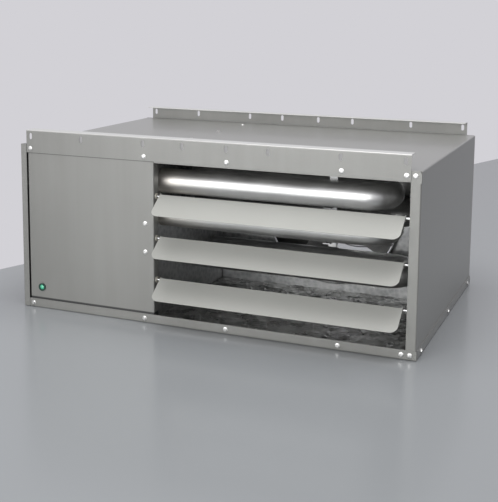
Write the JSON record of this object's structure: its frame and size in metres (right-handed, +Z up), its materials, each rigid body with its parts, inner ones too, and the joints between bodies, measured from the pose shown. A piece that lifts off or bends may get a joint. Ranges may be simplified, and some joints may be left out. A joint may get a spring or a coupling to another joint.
{
  "type": "low-profile gas unit heater",
  "caption": "Low, wide hanging gas unit heater with slotted flanges, tilting discharge louvres, tubular heat exchanger, rear fan, draft inducer and hinged access door.",
  "frame": {"origin": "Centre of the casing's flat underside, midway between its sides and between its front and back.", "axes": "+X to the right seen from the discharge side, +Y towards the fan and the vent at the back, +Z up."},
  "size_m": [0.7582, 0.5717, 0.337],
  "materials": {
    "casing_paint": "satin metallic grey paint",
    "louvre_paint": "matt grey paint",
    "aluminised_steel": "aluminised mill finish",
    "aluminium_sheet": "mill finish",
    "cast_aluminium": "as cast",
    "zinc_plate": "bright zinc plate",
    "black_pipe": "black pipe",
    "motor_paint": "semi-gloss black",
    "brass": "machined",
    "nylon": "moulded",
    "black_plastic": "moulded",
    "blue_plastic": "moulded",
    "lamp_bezel": "gloss",
    "lamp_lens": "gloss",
    "ceramic": "glazed",
    "insulation": "foil-faced fibre blanket",
    "rubber": "moulded"
  },
  "bodies": {
    "casing": {"jacket": "casing_paint", "bottom_pan": "casing_paint", "front_panel": "casing_paint", "rear_panel": "casing_paint", "lower_rail": "casing_paint", "partition": "aluminised_steel", "front_hanging_flange": "casing_paint", "rear_hanging_flange": "casing_paint", "casing_screws": "zinc_plate", "louvre_bushings": "nylon", "casing_hinge_leaves": "zinc_plate", "hinge_pins": "zinc_plate", "latch_keepers": "zinc_plate", "pilot_lamp_body": "lamp_bezel", "pilot_lamp_lens": "lamp_lens", "upper_tube": "aluminised_steel", "middle_tube": "aluminised_steel", "lower_tube": "aluminised_steel", "tube_support": "aluminised_steel", "floor_insulation": "insulation", "side_insulation": "insulation", "orifice_panel": "aluminised_steel", "fan_motor": "motor_paint", "motor_bracket": "aluminised_steel", "motor_screws": "zinc_plate", "fan_guard": "zinc_plate", "burner_box": "aluminised_steel", "burners": "aluminised_steel", "gas_manifold": "aluminised_steel", "burner_orifices": "brass", "manifold_bracket": "aluminised_steel", "gas_valve": "cast_aluminium", "gas_pipe": "black_pipe", "pipe_grommet": "rubber", "spark_igniter": "ceramic", "flame_sensor": "ceramic", "rollout_switch": "black_plastic", "limit_switch": "black_plastic", "collector_box": "aluminised_steel", "inducer_inlet": "aluminised_steel", "inducer_housing": "casing_paint", "inducer_motor": "motor_paint", "flue_adapter": "aluminised_steel", "vent_collar": "aluminised_steel", "control_bracket": "aluminised_steel", "control_parts": "black_plastic"},
    "upper_blade": {"louvre_upper": "louvre_paint", "louvre_upper_pins": "zinc_plate"},
    "middle_blade": {"louvre_middle": "louvre_paint", "louvre_middle_pins": "zinc_plate"},
    "lower_blade": {"louvre_lower": "louvre_paint", "louvre_lower_pins": "zinc_plate"},
    "door": {"access_door": "casing_paint", "door_hinge_leaves": "zinc_plate"},
    "upper_latch": {"door_latch_upper": "zinc_plate"},
    "lower_latch": {"door_latch_lower": "zinc_plate"},
    "fan": {"fan_blade": "aluminium_sheet", "fan_shaft": "zinc_plate"},
    "inducer_rotor": {"inducer_wheel": "aluminised_steel"},
    "gas_knob": {"valve_knob": "blue_plastic"}
  },
  "joints": [
    {"name": "upper_blade_tilt", "type": "hinge", "parent": "casing", "child": "upper_blade", "pos_m": [0.1228, -0.2385, 0.2315], "axis": [1, 0, 0], "range_deg": [-50, 50]},
    {"name": "middle_blade_tilt", "type": "hinge", "parent": "casing", "child": "middle_blade", "pos_m": [0.1228, -0.2385, 0.1555], "axis": [1, 0, 0], "range_deg": [-50, 50]},
    {"name": "lower_blade_tilt", "type": "hinge", "parent": "casing", "child": "lower_blade", "pos_m": [0.1228, -0.2385, 0.0795], "axis": [1, 0, 0], "range_deg": [-50, 50]},
    {"name": "door_swing", "type": "hinge", "parent": "casing", "child": "door", "pos_m": [-0.3704, 0.2527, 0.1555], "axis": [0, 0, -1], "range_deg": [0, 110]},
    {"name": "upper_latch_turn", "type": "hinge", "parent": "door", "child": "upper_latch", "pos_m": [-0.38, -0.223, 0.23014], "axis": [1, 0, 0], "range_deg": [0, 90]},
    {"name": "lower_latch_turn", "type": "hinge", "parent": "door", "child": "lower_latch", "pos_m": [-0.38, -0.223, 0.08086], "axis": [1, 0, 0], "range_deg": [0, 90]},
    {"name": "fan_spin", "type": "hinge", "parent": "casing", "child": "fan", "pos_m": [0.1264, 0.0812, 0.1555], "axis": [0, 1, 0], "continuous": true},
    {"name": "inducer_spin", "type": "hinge", "parent": "casing", "child": "inducer_rotor", "pos_m": [-0.2, -0.044, 0.079], "axis": [1, 0, 0], "continuous": true},
    {"name": "gas_knob_turn", "type": "hinge", "parent": "casing", "child": "gas_knob", "pos_m": [-0.3, -0.2056, 0.08896], "axis": [1, 0, 0], "range_deg": [0, 90]}
  ]
}
